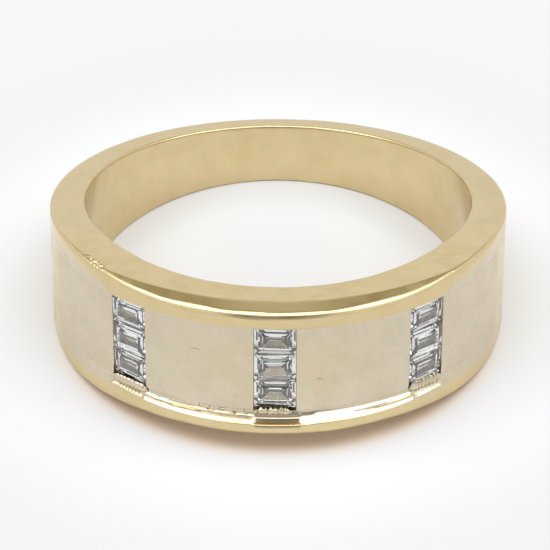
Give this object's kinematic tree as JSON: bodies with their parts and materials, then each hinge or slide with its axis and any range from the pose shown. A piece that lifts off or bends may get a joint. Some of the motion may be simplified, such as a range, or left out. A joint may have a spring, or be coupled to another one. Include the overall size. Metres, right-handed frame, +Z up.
{
  "type": "diamond band ring",
  "caption": "Tapered yellow-gold band ring with a recessed white-gold front panel set with upright columns of baguette-cut diamonds.",
  "frame": {"origin": "on the surface that the ring lies on, at the middle of the ring's bounding box", "axes": "+Z up from that surface; -Y is the front with the panel and stones; +X is to the right seen from the front. The ring rests on the tapered part of its lower side, so the finger hole's axis leans back 7.35 degrees from +Z towards +Y"},
  "size_m": [0.0222, 0.0226, 0.0077],
  "materials": {
    "yellow_gold": "polished yellow gold, lightly worn",
    "white_gold": "satin white gold, warm grey",
    "diamond": "polished, step-cut"
  },
  "bodies": {
    "root": {"band": "yellow_gold", "panel": "white_gold", "diamond_left_bottom": "diamond", "diamond_left_middle": "diamond", "diamond_left_top": "diamond", "diamond_centre_bottom": "diamond", "diamond_centre_middle": "diamond", "diamond_centre_top": "diamond", "diamond_right_bottom": "diamond", "diamond_right_middle": "diamond", "diamond_right_top": "diamond"}
  },
  "joints": []
}
